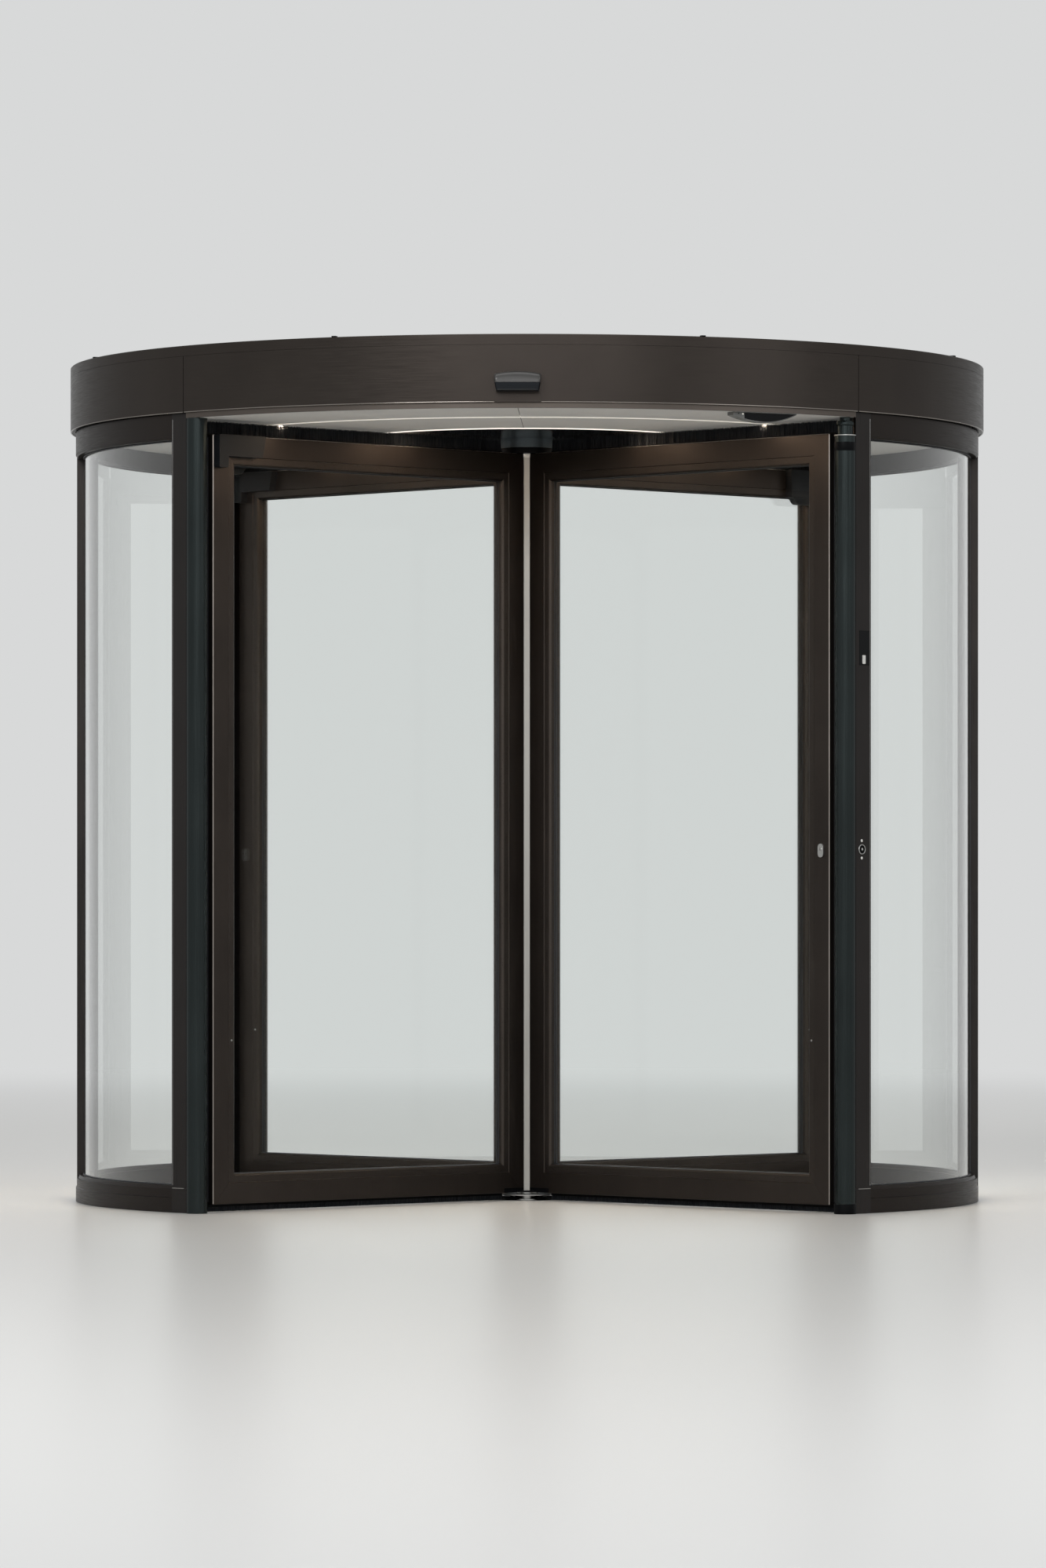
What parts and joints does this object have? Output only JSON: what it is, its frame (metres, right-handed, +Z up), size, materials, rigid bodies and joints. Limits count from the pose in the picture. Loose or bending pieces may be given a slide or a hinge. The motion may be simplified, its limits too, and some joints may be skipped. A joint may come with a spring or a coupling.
{
  "type": "four-leaf revolving door",
  "caption": "Revolving door with a round canopy, curved glass drum walls and a rotor of glazed leaves that turns freely about its centre column.",
  "frame": {"origin": "on the floor, on the axis of the rotor", "axes": "+Z up along the rotor's axis, -Y out of the front doorway, +X to the right as seen from the front"},
  "size_m": [2.64, 2.7286, 2.4033],
  "materials": {
    "bronze_leaf": "dark bronze anodised, satin",
    "bronze_bead": "dark bronze anodised, satin",
    "bronze_rail": "dark bronze anodised, satin",
    "bronze_upright": "dark bronze anodised, satin",
    "guard_tube": "dark bronze anodised tube, satin",
    "bronze_sheet": "dark bronze anodised sheet, satin",
    "roof_sheet": "powder coated sheet, matt",
    "ceiling_paint": "warm white, matt",
    "gloss_panel": "black, high gloss",
    "light_diffuser": "opal",
    "wall_glass": "clear laminated, bent",
    "leaf_glass": "clear toughened",
    "frame_steel": "primed steel",
    "stainless": "fine brushed",
    "silver_anodised": "natural anodised, satin",
    "pivot_black": "black, satin",
    "sensor_housing": "dark, moulded",
    "brush": "black bristle",
    "seal_rubber": "black, matt"
  },
  "bodies": {
    "drum": {"floor_bearing": "stainless", "bearing_covers": "pivot_black", "base_rail_left": "bronze_rail", "base_rail_right": "bronze_rail", "head_rail_left": "bronze_rail", "head_rail_right": "bronze_rail", "wall_glass_left_front": "wall_glass", "wall_glass_left_back": "wall_glass", "wall_glass_right_front": "wall_glass", "wall_glass_right_back": "wall_glass", "facade_joint_left": "bronze_upright", "facade_joint_right": "bronze_upright", "post_front_left": "bronze_upright", "post_front_right": "bronze_upright", "post_back_left": "bronze_upright", "post_back_right": "bronze_upright", "finger_guards_front": "guard_tube", "finger_guards_back": "guard_tube", "fascia_front": "bronze_sheet", "fascia_right": "bronze_sheet", "fascia_back": "bronze_sheet", "fascia_left": "bronze_sheet", "fascia_top_trim": "bronze_sheet", "fascia_bottom_trim": "bronze_sheet", "edge_clips": "pivot_black", "ring_beam": "frame_steel", "cross_beams": "frame_steel", "roof_panels": "roof_sheet", "ceiling_outer": "ceiling_paint", "ceiling_middle": "ceiling_paint", "ceiling_centre": "gloss_panel", "light_ring_outer": "light_diffuser", "light_ring_inner": "light_diffuser", "top_bearing": "frame_steel", "motion_sensor_front": "sensor_housing", "motion_sensor_back": "sensor_housing", "presence_sensor_front": "sensor_housing", "presence_sensor_back": "sensor_housing", "post_controls": "stainless"},
    "rotor": {"centre_column": "silver_anodised", "column_foot": "pivot_black", "pivot_block": "stainless", "hub": "bronze_sheet", "hub_collar": "pivot_black", "leaf_frame_1": "bronze_leaf", "leaf_frame_2": "bronze_leaf", "leaf_frame_3": "bronze_leaf", "leaf_frame_4": "bronze_leaf", "leaf_shoes": "pivot_black", "leaf_glass_1": "leaf_glass", "leaf_glass_2": "leaf_glass", "leaf_glass_3": "leaf_glass", "leaf_glass_4": "leaf_glass", "glazing_beads": "bronze_bead", "top_brushes": "brush", "bottom_brushes": "brush", "outer_seals": "seal_rubber", "leaf_sensors": "sensor_housing", "leaf_lock": "stainless"}
  },
  "joints": [
    {"name": "rotor_spin", "type": "hinge", "parent": "drum", "child": "rotor", "pos_m": [0, 0, 0], "axis": [0, 0, 1], "continuous": true}
  ]
}
